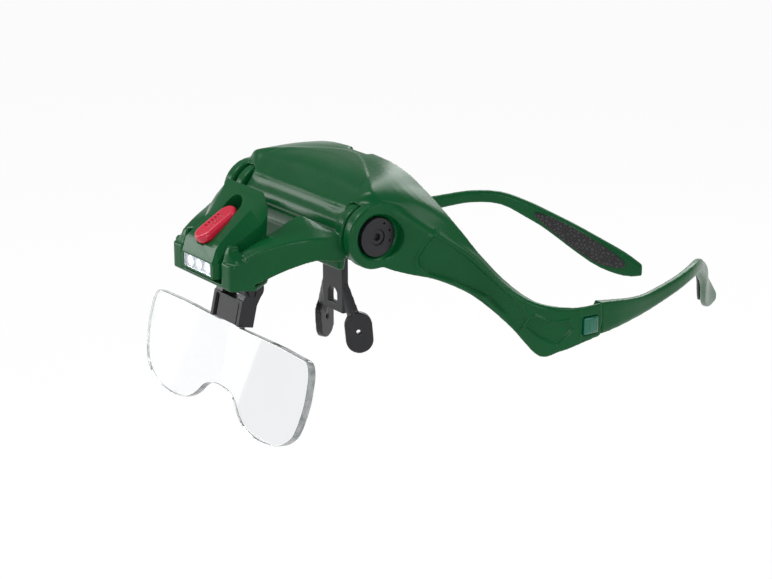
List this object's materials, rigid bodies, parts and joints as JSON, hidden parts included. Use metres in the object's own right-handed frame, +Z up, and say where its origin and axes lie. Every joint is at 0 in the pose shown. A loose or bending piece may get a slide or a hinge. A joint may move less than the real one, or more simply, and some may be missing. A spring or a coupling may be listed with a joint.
{
  "type": "lighted headband magnifier",
  "caption": "Head-worn magnifier: brow frame with temple arms, flip-up yoke carrying a tilting lamp and a clear lens plate, and a nose bracket.",
  "frame": {"origin": "where the wearer's forehead touches the middle of the brow frame's rear edge", "axes": "+X to the wearer's left, -Y to the wearer's front, +Z up"},
  "size_m": [0.142, 0.1934, 0.0754],
  "materials": {
    "green_plastic": "gloss moulded",
    "button_plastic": "polished",
    "black_plastic": "satin",
    "black_rubber": "matte",
    "steel": "plain",
    "clear_acrylic": "polished",
    "clear_window": "polished",
    "white_plastic": "gloss",
    "led_lens": "clear, lit",
    "board": "solder resist",
    "brass": "sprung sheet",
    "red_plastic": "gloss"
  },
  "bodies": {
    "frame": {"brow_frame": "green_plastic", "nose_bracket": "black_rubber", "nose_bracket_screw": "steel", "temple_left": "green_plastic", "temple_right": "green_plastic", "ear_pad_left": "black_rubber", "ear_pad_right": "black_rubber", "button_spring_left": "steel", "button_spring_right": "steel"},
    "button_left": {"release_button_left": "button_plastic"},
    "button_right": {"release_button_right": "button_plastic"},
    "flip_yoke": {"yoke": "green_plastic", "knob_left": "black_plastic", "knob_right": "black_plastic", "hinge_screw_left": "steel", "hinge_screw_right": "steel", "friction_washers": "black_rubber"},
    "lamp": {"lamp_top_shell": "green_plastic", "lamp_bottom_shell": "green_plastic", "lamp_window": "clear_window", "lamp_reflector": "white_plastic", "leds": "led_lens", "circuit_board": "board", "switch_body": "black_plastic", "button_cells": "steel", "battery_contacts": "brass", "battery_door": "green_plastic", "lamp_screws": "steel"},
    "switch": {"switch_slider": "red_plastic"},
    "lens_carrier": {"lens_holder": "black_plastic", "lens_pivot_screw": "steel"},
    "lens": {"lens_plate": "clear_acrylic"}
  },
  "joints": [
    {"name": "yoke_flip", "type": "hinge", "parent": "frame", "child": "flip_yoke", "pos_m": [0, -0.0195, -0.0145], "axis": [-1, 0, 0], "range_deg": [0, 50]},
    {"name": "lamp_tilt", "type": "hinge", "parent": "flip_yoke", "child": "lamp", "pos_m": [0, -0.055, -0.019], "axis": [1, 0, 0], "range_deg": [0, 10]},
    {"name": "switch_slide", "type": "slide", "parent": "lamp", "child": "switch", "axis": [0, 0.866, 0.5], "range_m": [0, 0.003]},
    {"name": "lens_tilt", "type": "hinge", "parent": "flip_yoke", "child": "lens_carrier", "pos_m": [0, -0.045, -0.0329], "axis": [-1, 0, 0], "range_deg": [-10, 30]},
    {"name": "lens_pull", "type": "slide", "parent": "lens_carrier", "child": "lens", "axis": [0, -0.2241, -0.9746], "range_m": [0, 0.006]},
    {"name": "release_left", "type": "slide", "parent": "frame", "child": "button_left", "axis": [-1, 0, 0], "range_m": [0, 0.0012], "stiffness_N_per_m": 600, "deforming": ["button_spring_left"]},
    {"name": "release_right", "type": "slide", "parent": "frame", "child": "button_right", "axis": [1, 0, 0], "range_m": [0, 0.0012], "stiffness_N_per_m": 600, "deforming": ["button_spring_right"]}
  ]
}
